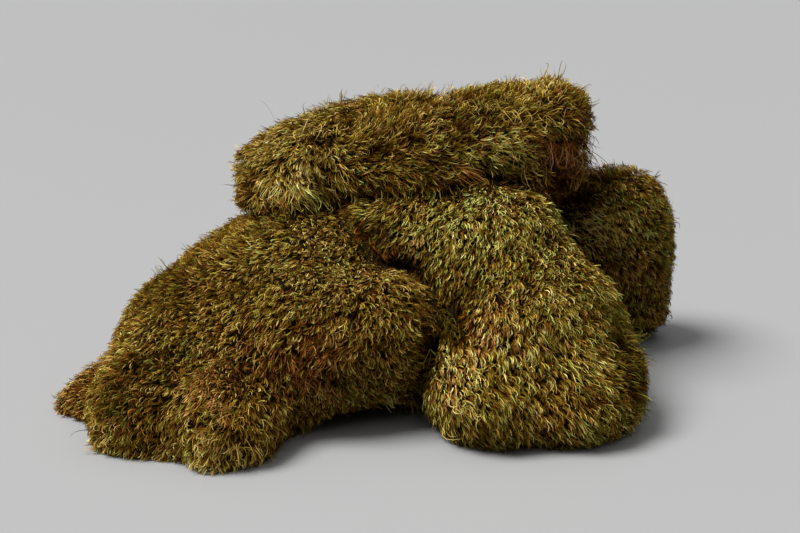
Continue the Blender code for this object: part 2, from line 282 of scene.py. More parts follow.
TOP = Mat(
    node="top_mat", slot="top_moss", coat=TOUSLED,
    hues={"gold": 3.2, "olive": 3.4, "lime": 2.2, "straw": 1.2, "tan": 1.2}, light=1.08,
    curl_side=0.0, relief=4.8, tuft=14,
    strokes=rows(Stroke, [
        (240, 150, 224, 154), (240, 172, 226, 177), (262, 135, 248, 147), (290, 120, 276, 136),
        (322, 115, 309, 131), (345, 105, 333, 119), (390, 108, 402, 92), (430, 105, 444, 92),
        (470, 110, 486, 100), (505, 95, 516, 82), (535, 85, 540, 70), (560, 85, 570, 72),
        (580, 105, 594, 102), (585, 140, 592, 154), (272, 188, 263, 205), (305, 190, 317, 207),
        (310, 150, 300, 166), (350, 150, 361, 137), (385, 175, 398, 188), (345, 185, 357, 200),
        (385, 135, 396, 122), (430, 150, 446, 146), (420, 180, 428, 192), (480, 150, 496, 142),
        (520, 145, 536, 140), (452, 170, 470, 181), (490, 175, 506, 182), (550, 150, 552, 172),
        (575, 150, 578, 172),
    ]),
    patches=rows(Patch, [
        # Painted light: the straw patch at (302, 186) makes the fold under the mat's front lighter, as though
        # more light reached it.
        (280, 133, 22, "straw", 0.45, 1.45), (302, 186, 22, "straw", 0.35, 2.9),
        (252, 172, 8, "tan", 0.5, 0.8), (242, 196, 10, "root", 0.8, 0.5), (372, 190, 13, "moss", 0.7, 0.75),
        (385, 115, 20, "gold", 0.5, 0.7), (425, 102, 18, "straw", 0.4, 0.7),
        (480, 105, 24, "moss", 0.45, 0.6), (425, 152, 20, "lime", 0.4, 1.5),
        # Painted light: the lime patch at (500, 157) lightens the belly, which faces down.
        (500, 157, 18, "lime", 0.45, 4.2), (465, 172, 9, "tan", 0.5, 1.4),
        (565, 152, 18, "root", 0.6, 0.45), (548, 150, 10, "rust", 0.5, 0.9),
        # The root patches at (565, 152) and (563, 183) are the brown of the roots under the mat's right end,
        # darkened further as painted shade in the cavity beneath it.
        (563, 183, 17, "root", 0.85, 0.17), (560, 118, 18, "moss", 0.35, 0.8),
        (545, 85, 16, "straw", 0.5, 1), (582, 112, 11, "tan", 0.4, 0.7), (500, 167, 10, "moss", 0.5, 0.7),
        (415, 160, 12, "moss", 0.5, 0.8), (560, 112, 7, "deep", 0.4, 0.6),
    ]),
    hollows=rows(Hollow, [
        (318, 133, 8, 5), (378, 152, 8, 5), (410, 142, 9, 7), (450, 117, 7, 5), (453, 130, 5, 4),
        (464, 140, 5, 5), (556, 104, 6, 6), (530, 112, 5, 4), (428, 182, 8, 5), (520, 165, 7, 4),
        (430, 163, 5, 4), (345, 130, 5, 4), (500, 178, 8, 4), (445, 160, 4), (345, 103, 12, -2.5),
        (445, 95, 14, -3), (550, 80, 10, -2), (236, 160, 9, -7), (250, 179, 6, 4), (248, 206, 8, -3),
        (582, 98, 9, 4), (590, 115, 8), (322, 108, 9, -2.5), (540, 188, 8, -3),
    ]),
    tufts=rows(Tuft, [
        (244, 177, 244, 177, 1, -22, 7, "root", 1, 0, 0.7),
        (272, 121, 272, 121, 1, -14, -22, "tan", 0.25, 0, 0.7),
        (234, 207, 234, 207, 1, -8, -6, "tan", 0.4, 0, 0.8),
        (300, 117, 345, 100, 18, 4, -10, "olive", 0.6, 5, 0.8),
        (350, 102, 420, 93, 34, 5, -8, "straw", 0.55), (425, 93, 468, 90, 24, 6, -9, "straw", 0.55),
        (470, 92, 515, 86, 20, 3, -7, "olive", 0.55), (518, 88, 530, 85, 8, -13, -8, "straw", 0.7, 5, 1),
        (538, 84, 566, 80, 26, 1, -12, "straw", 0.7, 7),
        (568, 90, 582, 104, 18, 12, -6, "olive", 0.6, 7, 0.8), (582, 102, 588, 122, 8, 8, 15, "root", 0.7),
        (585, 138, 590, 165, 14, 3, 14, "root", 0.7, 4), (519, 84, 521, 86, 2, 5, 30, "straw", 0.55, 3, 1),
        (526, 158, 528, 160, 2, 5, 30, "straw", 0.5, 3),
        (500, 108, 505, 112, 3, 14, 16, "straw", 0.5, 4, 0.8),
        (536, 140, 588, 146, 60, 2, 22, "rust", 0.4, 14, 0.6),
        (545, 144, 590, 150, 60, 1, 22, "root", 0.4, 14, 1.5),
        (446, 160, 462, 172, 16, 24, 15, "tan", 0.45, 6, 0.8),
        (495, 178, 530, 176, 12, 12, -4, "tan", 0.5, 6, 0.8),
        (244, 182, 241, 213, 26, -6, 1, "tan", 0.6, 5, 0.8), (252, 146, 238, 172, 20, -10, 2, "straw", 0.6),
        (455, 100, 565, 118, 70, 3, 5, "straw", 0.5, 14), (460, 150, 540, 160, 45, 4, 4, "lime", 0.5, 13),
        (262, 142, 345, 118, 60, -10, 12, "straw", 0.5, 8, 1.1),
        (262, 178, 292, 192, 35, -6, 14, "straw", 0.5, 7, 1.3),
        (290, 182, 325, 200, 35, 10, 14, "lime", 0.5, 7, 1.2),
        (575, 100, 590, 170, 40, 2, 10, "root", 0.5, 12, 1.1),
        # Partly painted shade: root strands, darker than the roots' own brown, fill the dark slit under the
        # mat's right end.
        (522, 184, 562, 195, 70, 2, 8, "root", 0.7, 6, 0.4),
        (246, 203, 345, 205, 70, 3, 10, "lime", 0.5, 6, 1),
        (350, 200, 430, 190, 60, 2, 10, "olive", 0.5, 6, 1),
        (430, 188, 540, 188, 60, 3, 10, "lime", 0.5, 6),
        # Partly painted shade: broad dark root strands close the same slit.
        (532, 185, 546, 187, 60, 1, 9, "root", 1.1, 3, 0.4),
    ]),
    seed=37,
)

BACK = Mat(
    node="back_mat", slot="back_moss", coat=FINE,
    hues={"olive": 3.4, "tan": 1.4, "gold": 2.2, "root": 0.5, "moss": 1.6, "lime": 0.8},
    light=1.0,
    curl_side=-0.4, relief=1.4, tuft=12,
    strokes=rows(Stroke, [
        (575, 205, 590, 212), (605, 195, 618, 210), (640, 185, 652, 200), (620, 168, 607, 161),
        (590, 235, 604, 248), (630, 225, 642, 242), (660, 215, 674, 224), (605, 265, 618, 278),
        (640, 265, 650, 284), (665, 260, 678, 268), (615, 305, 610, 322), (640, 305, 632, 320),
        (660, 300, 668, 316),
    ]),
    patches=rows(Patch, [
        # Painted light: the patches at (590, 224), (582, 238) and (632, 220) lighten the back mat's left
        # part, where the top mat's shadow falls; the root patch at (580, 194) darkens the gap under the top
        # mat as painted shade.
        (590, 224, 15, "olive", 0.4, 4.5), (580, 194, 12, "root", 0.5, 0.25),
        (582, 238, 16, "root", 0.35, 2.1), (632, 220, 18, "olive", 0.3, 1.8),
        (640, 268, 22, "tan", 0.2, 0.62), (655, 225, 11, "moss", 0.5, 0.9),
        (610, 300, 14, "moss", 0.5, 0.8), (628, 174, 16, "olive", 0.5, 0.6),
        (605, 172, 7, "deep", 0.5, 0.6), (640, 310, 11, "moss", 0.4, 1), (560, 252, 8, "root", 0.4, 0.4),
    ]),
    hollows=rows(Hollow, [
        (595, 265, 6, 4), (563, 252, 7, 4), (620, 308, 8, 4), (655, 185, 5), (600, 168, 13, 6),
        (604, 161, 16, 9), (672, 272, 12, 2.5), (543, 196, 16, -6),
    ]),
    tufts=rows(Tuft, [
        (598, 178, 620, 169, 14, -7, -6, "deep", 0.6, 6), (655, 176, 660, 181, 5, 5, -5, "root", 0.7, 5, 1),
        (656, 180, 658, 182, 2, 10, 8, "root", 0.9, 2), (664, 200, 668, 204, 4, 6, -2, "moss", 0.7, 3),
        (665, 258, 668, 268, 14, 8, 5, "moss", 0.8, 5, 0.8), (667, 212, 672, 245, 22, 5, 2, "olive", 0.6),
        (661, 298, 663, 312, 7, 7, 8, "root", 0.7, 4, 1), (636, 320, 660, 324, 18, -3, 7, "olive", 0.7),
    ]),
    seed=41,
)

MATS = [LEFT, FRONT, TOP, BACK]

# The comb.
STROKE_REACH = 24 * MM
GRAZING = 0.15  # a stroke seen more flatly than this isn't laid on the surface
FREE_COMB = 0.10  # the pull of the fall line where no stroke is near
FALL_DEPTH = 0.06  # how far that line drops on its way out from the mat's middle, in metres
WANDER = 14  # degrees by which the comb wanders from place to place
WANDER_WIDTH = 14 * MM

# The cover.
SQUARE_CENTIMETRES = 1e4  # in a square metre
GROUND_FACING = -0.95  # a face is on the ground where it looks down as steeply as this
GROUND_NEAR = 1 * MM  # and lies as low as this
FAR_FADE = 0.35  # how far a surface turns from the camera before it counts as far
FAR_COVER = 0.62  # the share of the cover there
FAR_BREADTH = 1.35  # the leaves are broader there, so that they cover as much

# Shoots. Lengths, widths and curls are shares of the coat's own, and other spreads are in degrees.
SHOOT_LENGTHS = (0.75, 1.2)
SHOOT_LIFT_SPREAD = 8
SHOOT_TIP_SPREAD = 9
SHOOT_CURL_SPREAD = 0.35
CURL_WIDTH = 26 * MM  # the breadth of a stretch whose leaves curl to one side
CURL_SHARPNESS = 3  # how sharply one stretch meets the next
CURL_PULL = 2  # how strongly a mat's own side counts
WILD_SHARE = 0.09  # shoots that stand off the coat
WILD_LIFT = 45

# Leaves in a shoot.
LEAF_PLACES = 0.4  # they sit on this share of the stem, from its root up
STEM_LENGTH = 0.5  # as a share of the shoot's length
LEAF_SCATTER = 0.55 * MM
LEAF_LENGTHS = (0.85, 1.1)
HIGHER_SHORTER = 0.6  # how much shorter a leaf is that sits higher
LEAF_WIDTHS = (0.7, 1.25)
ROOT_WIDTH = 0.7
LEAF_FAN = 8
LEAF_LIFT_SPREAD = 6
LEAF_TIP_SPREAD = 7
LEAF_CURL_SPREAD = 0.2
LEAF_ROLL = 35
HOOK = 1.8  # leaves bend sideways more and more towards their tips
HOOK_MIDDLE = 0.30  # at their roots they lean the other way, by this share of their curl
DROOP = 1.4  # how early they bend over
CURVE_STEPS = 3  # short steps in each straight stretch of a leaf
LARGEST_PIECE = 150000  # triangles

# Hues, as places on the palette.
HUE_DRIFT = 1.4  # how strongly a mat's hues keep to patches
HUE_DRIFT_WIDTH = 13 * MM
HUE_CHANCE = 0.7  # how much chance there is in a shoot's hue
SHOOT_HUE_SPREAD = 0.03
LEAF_HUE_SPREAD = 0.035
DEAD_SHARE = 0.12  # the share of whole shoots that are brown, for each dull leaf that is
UNDERSIDE = 0.6  # shoots die where a mat looks down more steeply than this
UNDERSIDE_FADE = 2.5
SHOOT_HUES = (0.02, 0.98)  # the stretches of the palette that shoots and leaves keep to
LEAF_HUES = (0.01, 0.99)
HUE_WIDTH = 0.004  # the breadth of a leaf on the palette

# Light, as places on the light ramp.
LIGHT_STEPS = 10
LIGHT_STEEPNESS = 4.6  # how fast the leaves' light rises along the ramp
LIGHT_MIDDLE = 0.70  # where the palette's green is seen as it is
RED_STEEPNESS = 3.6  # red rises more slowly, so that dark leaves are redder
RED_MIDDLE = 0.68
BLUE_STEEPNESS = 7.4  # blue rises faster, so that bright leaves are paler
BLUE_MIDDLE = 0.675
LIGHT_DRIFT = 0.05  # how much lighter or darker a tuft is
LIGHT_DRIFT_WIDTH = 9 * MM
LIGHT_SPREAD = 0.04
STANDING_LIGHT = 0.02  # painted light: how much lighter shoots are that stand out of the coat
HIGHER_LIGHT = 0.5  # how much lighter a leaf's root is that sits higher, less deep in the painted shade of the coat
BRIGHT_SHARE = 0.36  # leaves painted lighter, as painted highlights
BRIGHT, DULL = 2.0, 0.55  # how many times lighter the painted highlights are, and how dark the others are as painted shade
ROOT_LIGHTS = (0.02, 0.9)
TIP_LIGHTS = (0.05, 0.92)
LIGHT_RISE = 0.7  # how early a leaf brightens on its way to its tip

# Loose strands.
LOOSE_BENDS = 5
LOOSE_ROOT = 2.5 * MM  # how deep a strand is rooted
LOOSE_LENGTHS = (0.6, 1.15)
LOOSE_WIDTHS = (0.7, 1.1)
LOOSE_TIP_WIDTH = 0.5
LOOSE_BOW = 0.18  # how far it bows out, as a share of its length
LOOSE_ROLL = 0.5
ROOT_SCATTER = 0.35  # how far its root scatters, as a share of how far its tip does
BUNCH = 5  # strands in a bunch
BUNCH_SPREAD = 0.18
LOOSE_CLEAR = 1.0 * MM  # how far over the leaves it lies
LOOSE_JUMP = 2.5  # if they are no farther away than so many lengths
LOOSE_HUE_SPREAD = 0.03
LOOSE_LIGHT_SPREAD = 0.08
LOOSE_LIGHTS = (0.05, 0.99)
LOOSE_ROOT_SHADE = 0.15

# What is added to a mat's seed for each kind of chance.
RELIEF_SEED, LIGHT_SEED, CURL_SEED, HUE_SEED, LOOSE_SEED = 3, 7, 50, 100, 500

# Smooth noise.
NOISE_TABLE = 4093  # heights in its table
NOISE_START = 1000  # swells by which it is moved, so that their numbers are above zero
NOISE_PRIMES = (73856093, 19349663, 83492791)
DECIMALS = 6  # points of a solid that agree so far are one
SMALLEST = 1e-9  # a vector shorter than this has no direction


def unit(vectors):
    return vectors / np.maximum(np.linalg.norm(vectors, axis=-1, keepdims=True), SMALLEST)


def along_surface(vectors, normals):
    """The part of each vector that lies in the surface, as a unit vector."""
    return unit(vectors - (vectors * normals).sum(1)[:, None] * normals)


def turned(ahead, side, angle):
    return ahead * np.cos(angle)[:, None] + side * np.sin(angle)[:, None]


def nearness(places, middle, reach):
    """1 at the middle, falling away to 0 beyond its reach."""
    return np.exp(-(((places - np.array(middle)) / reach) ** 2).sum(1))


def soft_noise(points, width, seed):
    """Smooth noise from -1 to 1 whose swells are about a width apart."""
    table = np.random.default_rng(seed).uniform(-1, 1, NOISE_TABLE)
    cell = points / width + NOISE_START
    low = np.floor(cell).astype(np.int64)
    part = cell - low
    part = part * part * (3 - 2 * part)
    total = np.zeros(len(points))
    for corner in np.ndindex(2, 2, 2):
        key = ((low + corner) * NOISE_PRIMES).sum(1)
        share = np.where(corner, part, 1 - part).prod(1)
        total += share * table[key % len(table)]
    return total


def point_tree(points):
    tree = KDTree(len(points))
    for number, point in enumerate(points.tolist()):
        tree.insert(point, number)
    tree.balance()
    return tree


def mesh_arrays(data):
    """The points and triangles of a mesh, with points at the same place made one."""
    data.calc_loop_triangles()
    points = np.empty(len(data.vertices) * 3)
    data.vertices.foreach_get("co", points)
    triangles = np.empty(len(data.loop_triangles) * 3, np.int32)
    data.loop_triangles.foreach_get("vertices", triangles)
    joined, index = np.unique(np.round(points.reshape(-1, 3), DECIMALS), axis=0, return_inverse=True)
    return joined, index.reshape(-1)[triangles].reshape(-1, 3)


class Solid:
    """A mat's solid: its points, triangles, and what is asked of them again and again."""

    def __init__(self, node):
        self.points, self.triangles = mesh_arrays(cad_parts[node].data)
        corners = self.points[self.triangles]
        cross = np.cross(corners[:, 1] - corners[:, 0], corners[:, 2] - corners[:, 0])
        self.areas = np.linalg.norm(cross, axis=1) / 2
        self.face_normals = unit(cross)
        on_ground = (self.face_normals[:, 2] < GROUND_FACING) & (corners.mean(1)[:, 2] < GROUND_NEAR)
        self.open_faces = np.nonzero(~on_ground)[0]
        self.middle = (self.points.min(0) + self.points.max(0)) / 2
        self.tree = BVHTree.FromPolygons(self.points.tolist(), self.triangles.tolist())

    def distances(self, places):
        return np.array([self.tree.find_nearest(place)[3] for place in places.tolist()])

    def smooth_normals(self):
        """Normals at the points, from the faces that don't rest on the ground."""
        normals = np.zeros_like(self.points)
        for corner in range(3):
            index = self.triangles[self.open_faces][:, corner]
            weighted = self.face_normals[self.open_faces] * self.areas[self.open_faces][:, None]
            np.add.at(normals, index, weighted)
        return unit(normals)


def add_object(name, data):
    made = bpy.data.objects.new(name, data)
    bpy.context.scene.collection.objects.link(made)
    return made


# From pixels to places.

def pixel_ray(x, y):
    """The direction from the camera through a pixel of the photograph."""
    across = (x - IMAGE_WIDTH / 2) / FOCAL_PIXELS
    down = (y - IMAGE_HEIGHT / 2) / FOCAL_PIXELS
    ahead = Vector((0, cos(CAMERA_SLOPE), -sin(CAMERA_SLOPE)))
    below = Vector((0, -sin(CAMERA_SLOPE), -cos(CAMERA_SLOPE)))
    return (ahead + Vector((1, 0, 0)) * across + below * down).normalized()


def cast(solid, x, y):
    """The place where a pixel shows the solid, and the surface's normal, or the nearest place to its ray."""
    ray = pixel_ray(x, y)
    place, normal, _, _ = solid.tree.ray_cast(CAMERA_PLACE, ray)
    if place is None:
        ahead = (Vector(solid.middle) - CAMERA_PLACE).dot(ray)
        place, normal, _, _ = solid.tree.find_nearest(CAMERA_PLACE + ray * ahead)
    return place, normal


def cast_stroke(solid, stroke):
    """The place of a stroke on the solid and its direction along the surface."""
    place, normal = cast(solid, stroke.x0, stroke.y0)
    ray = pixel_ray(stroke.x1, stroke.y1)
    steep = ray.dot(normal)
    if abs(steep) < GRAZING:
        end = CAMERA_PLACE + ray * (place - CAMERA_PLACE).length
    else:
        end = CAMERA_PLACE + ray * ((place - CAMERA_PLACE).dot(normal) / steep)
    return np.array(place), np.array((end - place).normalized())


# The lie of the shoots on a mat.

def distance_to_others(mat, solids, places):
    return np.min([other.distances(places) for name, other in solids.items() if name != mat.node], 0)


def scatter(mat, coat, solids, rng):
    """Places of shoots on the part of a mat that the air reaches, their normals, how far they look away from
    the camera (0 to 1), and how far the nearest other mat is."""
    solid = solids[mat.node]
    normals = solid.smooth_normals()
    areas = solid.areas[solid.open_faces]
    count = int(areas.sum() * SQUARE_CENTIMETRES * coat.cover)
    chosen = solid.open_faces[rng.choice(len(areas), count, p=areas / areas.sum())]
    shares = rng.dirichlet((1, 1, 1), count)
    corners = solid.triangles[chosen]
    places = (solid.points[corners] * shares[:, :, None]).sum(1)
    shoot_normals = unit((normals[corners] * shares[:, :, None]).sum(1))
    facing = (shoot_normals * unit(np.array(CAMERA_PLACE) - places)).sum(1)
    far = (-facing / FAR_FADE).clip(0, 1)
    kept = rng.random(count) < 1 - (1 - FAR_COVER) * far
    places, shoot_normals, far = places[kept], shoot_normals[kept], far[kept]
    apart = distance_to_others(mat, solids, places)
    tree = point_tree(places[apart > BURIED])
    kept = np.array([tree.find(place)[2] < SEAM for place in places.tolist()])
    return places[kept], shoot_normals[kept], far[kept], apart[kept]


def hollow_depth(mat, solid, places):
    """How deep the hollows of a mat are, both those between its tufts and those that are listed."""
    depth = mat.relief * MM * soft_noise(places, mat.tuft * MM, mat.seed + RELIEF_SEED).clip(0, 1)
    for hollow in mat.hollows:
        middle, _ = cast(solid, hollow.x, hollow.y)
        depth += hollow.depth * MM * nearness(places, middle, hollow.radius * MM)
    return depth


def comb_directions(mat, solid, places, normals):
    """The direction along the surface in which the leaves are combed."""
    fall = places - solid.middle
    fall[:, 2] = -FALL_DEPTH
    total = along_surface(fall, normals) * FREE_COMB
    for stroke in mat.strokes:
        start, direction = cast_stroke(solid, stroke)
        pull = nearness(places, start, STROKE_REACH)[:, None]
        total = total + pull * along_surface(np.broadcast_to(direction, places.shape), normals)
    combed = along_surface(total, normals)
    turn = radians(WANDER) * soft_noise(places, WANDER_WIDTH, mat.seed)
    return turned(combed, np.cross(normals, combed), turn)


def light_step(times):
    """How far along the light ramp a leaf has to go to be so many times lighter."""
    return log(times) / LIGHT_STEEPNESS


def usual_hues(mat, places, rng):
    """One of the mat's own hues for each shoot, in patches that drift into each other."""
    names = list(mat.hues)
    weights = np.array([mat.hues[name] for name in names], float)
    seeds = [mat.seed + HUE_SEED + number for number in range(len(names))]
    drift = np.stack([soft_noise(places, HUE_DRIFT_WIDTH, seed) for seed in seeds], 1)
    chance = rng.gumbel(size=(len(places), len(names)))
    scores = np.log(weights / weights.sum()) + HUE_DRIFT * drift + chance * HUE_CHANCE
    spots = np.array([PALETTE[name][0] for name in names])
    return spots[scores.argmax(1)]


def hues_and_light(mat, coat, solid, places, normals, apart, sunk, rng):
    """Each shoot's place on the palette, and how far from the middle of the light ramp it is."""
    hues = usual_hues(mat, places, rng)
    light = np.full(len(places), light_step(mat.light * coat.light))
    # Patches carry the moss's own tones, and also painted light and painted shade.
    for patch in mat.patches:
        middle, _ = cast(solid, patch.x, patch.y)
        near = nearness(places, middle, patch.radius * MM)
        taken = rng.random(len(places)) < patch.share * near
        hues[taken] = PALETTE[patch.hue][0]
        light += light_step(patch.light) * near
    under = ((-normals[:, 2] - UNDERSIDE) * UNDERSIDE_FADE).clip(0, 1)
    dead = rng.random(len(places)) < np.maximum(under, DEAD_SHARE * coat.brown)
    hues[dead] = rng.uniform(*BROWNS, dead.sum())
    hues += SHOOT_HUE_SPREAD * rng.standard_normal(len(places))
    # Painted shade: leaves are darker near the seams between mats and deep in the hollows.
    light += light_step(SEAM_SHADE) * np.exp(-apart / SEAM_REACH)
    light += light_step(HOLLOW_SHADE) * sunk / HOLLOW_DEPTH
    drift = soft_noise(places, LIGHT_DRIFT_WIDTH, mat.seed + LIGHT_SEED)
    light += LIGHT_DRIFT * drift + LIGHT_SPREAD * rng.standard_normal(len(places))
    return hues.clip(*SHOOT_HUES), light


def grow_shoots(mat, coat, solids, rng):
    """The shoots of one coat of a mat."""
    solid = solids[mat.node]
    places, normals, far, apart = scatter(mat, coat, solids, rng)
    count = len(places)
    combed = comb_directions(mat, solid, places, normals)
    combed = turned(combed, np.cross(normals, combed), radians(coat.stray) * rng.standard_normal(count))
    sunk = hollow_depth(mat, solid, places)
    hues, light = hues_and_light(mat, coat, solid, places, normals, apart, sunk, rng)
    standing = rng.uniform(-1, 1, count)
    depth = coat.depth * MM - coat.ragged * MM * standing + sunk
    wild = rng.random(count) < WILD_SHARE
    stretches = soft_noise(places, CURL_WIDTH, mat.seed + CURL_SEED)
    one_side = np.tanh(CURL_SHARPNESS * stretches + CURL_PULL * mat.curl_side)
    curl = one_side + SHOOT_CURL_SPREAD * rng.standard_normal(count)
    length = coat.length * MM * rng.uniform(*SHOOT_LENGTHS, count)
    lift = radians(coat.lift) + radians(SHOOT_LIFT_SPREAD) * rng.standard_normal(count)
    tip_lift = radians(coat.tip_lift) + radians(SHOOT_TIP_SPREAD) * rng.standard_normal(count)
    tip_lift[wild] += radians(WILD_LIFT)
    return Shoots(
        roots=places - normals * depth[:, None], normals=normals, combed=combed, far=far, hues=hues,
        light=light + STANDING_LIGHT * standing, curl=curl, length=length, lift=lift, tip_lift=tip_lift)


# Leaves as ribbons.

def leaf_shape(bends):
    """The places along a leaf where it is drawn, and its width there. It tapers to a tip."""
    stations = np.linspace(0, 1, bends + 1)
    widths = 1 - (1 - ROOT_WIDTH) * abs(2 * stations - 1)
    widths[-1] = 0
    return stations, widths


def leaf_triangles(bends):
    """The triangles of one leaf, whose points go in pairs from the root to the single tip."""
    made = []
    for pair in range(0, 2 * (bends - 1), 2):
        made += [(pair, pair + 1, pair + 3), (pair, pair + 3, pair + 2)]
    return np.array(made + [(2 * bends - 2, 2 * bends - 1, 2 * bends)])


def leaf_curves(roots, ahead, normals, length, lift, tip_lift, curl, stations):
    """Points along each leaf, which sets out at one angle, bends over to another and curls like a sickle."""
    side = np.cross(normals, ahead)
    points = [roots]
    place = roots
    for start, end in zip(stations[:-1], stations[1:]):
        for step in range(CURVE_STEPS):
            share = start + (end - start) * (step + 0.5) / CURVE_STEPS
            level = turned(ahead, side, curl * (share**HOOK - HOOK_MIDDLE))
            rise = tip_lift + (lift - tip_lift) * (1 - share) ** DROOP
            heading = np.cos(rise)[:, None] * level + np.sin(rise)[:, None] * normals
            place = place + heading * (length * (end - start) / CURVE_STEPS)[:, None]
        points.append(place)
    return np.stack(points, 1)


def ribbons(curves, widths, shape, facing):
    """The points of a ribbon along each curve, in pairs, tapering to its tip."""
    tangents = unit(np.gradient(curves, axis=1))
    across = unit(np.cross(tangents, facing[:, None, :]))
    half = across * (shape[None, :, None] * widths[:, None, None] / 2)
    pairs = np.stack([curves - half, curves + half], 2)[:, :-1]
    points = np.concatenate([pairs.reshape(len(curves), -1, 3), curves[:, -1:]], 1)
    points[:, :, 2] = np.maximum(points[:, :, 2], CLEAR_OF_GROUND)
    return points


def leaf_uvs(hues, root_light, tip_light, stations):
    """Places on the palette, with the hue across, and on the light ramp, from root to tip."""
    rise = root_light[:, None] + (tip_light - root_light)[:, None] * stations[None, :] ** LIGHT_RISE
    hue = np.repeat(hues[:, None], len(stations), 1)
    left = np.stack([hue - HUE_WIDTH, rise], 2)
    right = np.stack([hue + HUE_WIDTH, rise], 2)
    pairs = np.stack([left, right], 2)[:, :-1]
    tip = np.stack([hues, rise[:, -1]], 1)[:, None, :]
    return np.concatenate([pairs.reshape(len(hues), -1, 2), tip], 1)


def leaf_object(name, points, uvs, bends, material):
    """One mesh object of many leaves."""
    count, leaf_points = points.shape[:2]
    one_leaf = leaf_triangles(bends)
    triangles = (np.arange(count)[:, None, None] * leaf_points + one_leaf[None]).reshape(-1)
    faces = len(triangles) // 3
    mesh = bpy.data.meshes.new(name)
    mesh.vertices.add(count * leaf_points)
    mesh.vertices.foreach_set("co", points.reshape(-1))
    mesh.loops.add(len(triangles))
    mesh.loops.foreach_set("vertex_index", triangles)
    mesh.polygons.add(faces)
    mesh.polygons.foreach_set("loop_start", np.arange(faces) * 3)
    mesh.polygons.foreach_set("use_smooth", np.ones(faces, bool))
    mesh.update(calc_edges=True)
    layer = mesh.uv_layers.new(name="OFBake")
    layer.data.foreach_set("uv", uvs.reshape(-1, 2)[triangles].reshape(-1))
    mesh.materials.append(material)
    return add_object(name, mesh)


def leaf_objects(name, points, uvs, bends, material):
    """The leaves of a coat as objects of a limited size, from left to right."""
    order = np.argsort(points[:, 0, 0], kind="stable")
    pieces = ceil(len(points) * (2 * bends - 1) / LARGEST_PIECE)
    made = []
    for number, part in enumerate(np.array_split(order, pieces), 1):
        made.append(leaf_object(f"{name}_{number}", points[part], uvs[part], bends, material))
    return made


def leaf_lines(coat, shoots, leaf, along, stations, rng):
    """The line of each leaf and the direction of its shoot. Leaf tells which shoot it sits on."""
    total = len(leaf)
    normals = shoots.normals[leaf]
    side = np.cross(shoots.normals, shoots.combed)
    ahead = turned(shoots.combed[leaf], side[leaf], radians(LEAF_FAN) * rng.standard_normal(total))
    stem = shoots.combed * cos(radians(coat.lift)) + shoots.normals * sin(radians(coat.lift))
    start = shoots.roots[leaf] + stem[leaf] * (along * shoots.length[leaf] * STEM_LENGTH)[:, None]
    start += LEAF_SCATTER * rng.standard_normal((total, 3))
    length = shoots.length[leaf] * (1 - HIGHER_SHORTER * along) * rng.uniform(*LEAF_LENGTHS, total)
    lift = shoots.lift[leaf] + radians(LEAF_LIFT_SPREAD) * rng.standard_normal(total)
    tip_lift = shoots.tip_lift[leaf] + radians(LEAF_TIP_SPREAD) * rng.standard_normal(total)
    curl = radians(coat.curl) * (shoots.curl[leaf] + LEAF_CURL_SPREAD * rng.standard_normal(total))
    return leaf_curves(start, ahead, normals, length, lift, tip_lift, curl, stations), ahead


def leaf_colours(coat, shoots, leaf, along, stations, rng):
    """The places of each leaf's points on the palette and on the light ramp."""
    total = len(leaf)
    # Painted highlights and shade: a share of the leaves is made lighter, as though they caught the light,
    # and the rest darker.
    bright = rng.random(total) < BRIGHT_SHARE
    shade = np.where(bright, light_step(BRIGHT), light_step(DULL))
    tip_light = LIGHT_MIDDLE + shoots.light[leaf] + shade + LIGHT_SPREAD * rng.standard_normal(total)
    # Painted shade: the root is darker than the tip, less so for a leaf that sits higher on its stem.
    root_light = tip_light - LIGHT_MIDDLE + coat.root + HIGHER_LIGHT * along
    brown = ~bright & (rng.random(total) < coat.brown)
    brown_hues = rng.uniform(*BROWNS, total)
    live_hues = shoots.hues[leaf] + LEAF_HUE_SPREAD * rng.standard_normal(total)
    hues = np.where(brown, brown_hues, live_hues).clip(*LEAF_HUES)
    return leaf_uvs(hues, root_light.clip(*ROOT_LIGHTS), tip_light.clip(*TIP_LIGHTS), stations)


def grow_coat(mat, coat, name, solids, material):
    """The leaves of one coat of a mat, as a few objects."""
    rng = np.random.default_rng(mat.seed + coat.bends)
    shoots = grow_shoots(mat, coat, solids, rng)
    leaf = np.repeat(np.arange(len(shoots.roots)), coat.leaves)
    total = len(leaf)
    along = rng.uniform(0, LEAF_PLACES, total)
    stations, shape = leaf_shape(coat.bends)
    curves, ahead = leaf_lines(coat, shoots, leaf, along, stations, rng)
    broader = 1 + (FAR_BREADTH - 1) * shoots.far[leaf]
    widths = coat.width * MM * rng.uniform(*LEAF_WIDTHS, total) * broader
    roll = radians(LEAF_ROLL) * rng.standard_normal(total)
    normals = shoots.normals[leaf]
    points = ribbons(curves, widths, shape, turned(normals, np.cross(normals, ahead), roll))
    uvs = leaf_colours(coat, shoots, leaf, along, stations, rng)
    return leaf_objects(name, points, uvs, coat.bends, material)


# Loose strands.

